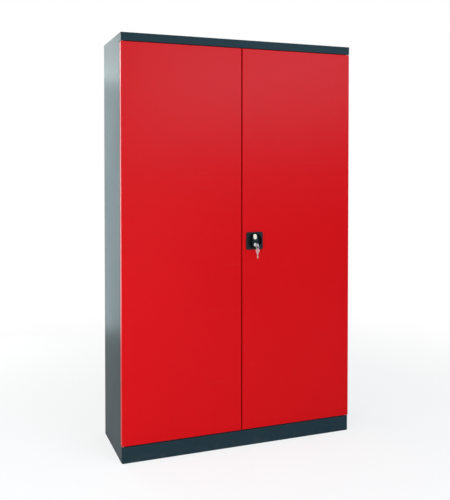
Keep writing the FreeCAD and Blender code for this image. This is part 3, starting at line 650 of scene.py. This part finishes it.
# Keys: two stamped, nickel-plated keys with a round bow, a tapered neck, a shoulder and a cut blade.
# One is in the cylinder, the other hangs on the ring.
key_edge = 0.22 * mm
key_roughness = 0.26
key_finish = nickel_plate("nickel_plated_key", nickel, key_roughness)
key_finish.set(Normal=key_finish.bump(key_finish.noise(600.0, 3.0), 0.10, 0.02 * mm))
bow_steps = 40
neck_length = 9.0 * mm
shoulder_rise = 1.3
tooth_cuts = (0.34, 0.62, 0.22, 0.50, 0.40)
hole_steps = 24


def key_outline(bow_radius, blade_half, bow_to_tip):
    """The key's outline in its own plane: the bow's centre at 0, 0 and the blade along +X."""
    neck = bow_radius + neck_length
    shoulder = blade_half * shoulder_rise
    reach = math.hypot(neck, shoulder)
    start = math.atan2(shoulder, neck) + math.acos(bow_radius / reach)
    points = []
    for step in range(bow_steps + 1):
        angle = start + (math.tau - 2 * start) * step / bow_steps
        points.append((bow_radius * math.cos(angle), bow_radius * math.sin(angle)))
    tip = bow_to_tip
    points.append((neck, -shoulder))
    points.append((neck + blade_half * 0.2, -blade_half))
    usable = tip - neck - blade_half * 1.6
    for tooth, cut in enumerate(tooth_cuts):
        left = neck + blade_half * 0.6 + usable * tooth / len(tooth_cuts)
        wide = usable / len(tooth_cuts)
        depth = blade_half * cut
        points.append((left + wide * 0.22, -blade_half))
        points.append((left + wide * 0.42, -blade_half + depth))
        points.append((left + wide * 0.62, -blade_half + depth))
        points.append((left + wide * 0.84, -blade_half))
    points.append((tip - blade_half * 0.7, -blade_half))
    points.append((tip, -blade_half * 0.15))
    points.append((tip, blade_half * 0.25))
    points.append((tip - blade_half * 0.5, blade_half))
    points.append((neck + blade_half * 0.2, blade_half))
    points.append((neck, shoulder))
    return points


def flat_spline(curve, points):
    spline = curve.splines.new("POLY")
    spline.points.add(len(points) - 1)
    for point, (x, y) in zip(spline.points, points):
        point.co = (x, y, 0, 1)
    spline.use_cyclic_u = True


def stamped_key(name, bow_radius, blade_half, bow_to_tip, hole_radius, hole_back, thickness):
    """A key cut from sheet, with round edges and the hole for the ring."""
    curve = bpy.data.curves.new(name, "CURVE")
    curve.dimensions = "2D"
    curve.fill_mode = "BOTH"
    curve.extrude = thickness / 2 - key_edge
    curve.bevel_depth = key_edge
    curve.bevel_resolution = 2
    curve.offset = -key_edge
    flat_spline(curve, key_outline(bow_radius, blade_half, bow_to_tip))
    hole = []
    for step in range(hole_steps):
        angle = -math.tau * step / hole_steps
        hole.append((-hole_back + hole_radius * math.cos(angle), hole_radius * math.sin(angle)))
    flat_spline(curve, hole)
    holder = bpy.data.objects.new(name, curve)
    mesh = bpy.data.meshes.new_from_object(holder)
    bpy.data.objects.remove(holder)
    mesh.name = name
    return mesh


key_low, key_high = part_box("key")
bow_radius = (key_high.z - key_low.z) / 2
key_thickness = key_high.x - key_low.x
blade_half = 2.5 * mm
hole_radius = 2.6 * mm
hole_back = 4.6 * mm
key_middle = (key_low + key_high) / 2
bow_centre = Vector((key_middle.x, key_low.y + bow_radius, key_middle.z))
key_mesh = stamped_key("door_key", bow_radius, blade_half, key_high.y - bow_centre.y, hole_radius,
                       hole_back, key_thickness)
key_mesh.transform(Matrix(((0, 0, 1), (1, 0, 0), (0, 1, 0))).to_4x4())
key_mesh.transform(Matrix.Translation(bow_centre))
key_piece = link(key_mesh, "door_key")
paint(key_piece, key_finish)
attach(key_piece, "key")
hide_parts("key")

spare_twist = math.radians(30)
spare_hole_radius = 3.6 * mm
spare_hole_back = 7.5 * mm
spare_low, spare_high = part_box("spare_key")
spare_middle = (spare_low + spare_high) / 2
spare_bow = Vector((spare_middle.x, spare_middle.y, spare_high.z - bow_radius))
spare_mesh = stamped_key("hanging_key", bow_radius, blade_half, spare_bow.z - spare_low.z,
                         spare_hole_radius, spare_hole_back, key_thickness)
spare_mesh.transform(Matrix(((0, 0, 1), (0, 1, 0), (-1, 0, 0))).to_4x4())
spare_mesh.transform(Matrix.Rotation(spare_twist, 4, "Z"))
spare_mesh.transform(Matrix.Translation(spare_bow))
spare_piece = link(spare_mesh, "hanging_key")
paint(spare_piece, key_finish)
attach(spare_piece, "spare_key")
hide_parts("spare_key")


# Key ring: a split ring, two turns of flat spring wire lying side by side, threaded through both bows.
ring_turns = 2
ring_steps = 72
wire_corners = 8
ring_low, ring_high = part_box("key_ring")
ring_centre = (ring_low + ring_high) / 2
ring_outer = (ring_high.x - ring_low.x) / 2
ring_half_wide = (ring_high.y - ring_low.y) / 2
wire_across = ring_half_wide * 0.92
wire_half_tall = ring_half_wide * 0.86
ring_start = math.pi * 0.35


def split_ring():
    build = bmesh.new()
    total = ring_turns * ring_steps
    line = ring_outer - wire_half_tall
    sections = []
    for step in range(total + 1):
        share_along = step / total
        angle = math.tau * ring_turns * share_along - ring_start
        drift = (share_along - 0.5) * wire_across
        section = []
        for corner in range(wire_corners):
            turn = math.tau * (corner + 0.5) / wire_corners
            out = line + wire_half_tall * math.cos(turn)
            y = drift + 0.5 * wire_across * math.sin(turn)
            x = out * math.cos(angle)
            z = out * math.sin(angle)
            section.append(build.verts.new(ring_centre + Vector((x, y, z))))
        sections.append(section)
    for first, second in zip(sections, sections[1:]):
        for corner in range(wire_corners):
            after = (corner + 1) % wire_corners
            build.faces.new((first[corner], first[after], second[after], second[corner]))
    build.faces.new(list(reversed(sections[0])))
    build.faces.new(sections[-1])
    return made_mesh(build, "split_ring")


ring_piece = link(split_ring(), "split_ring")
paint(ring_piece, key_finish)
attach(ring_piece, "key_ring")
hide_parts("key_ring")
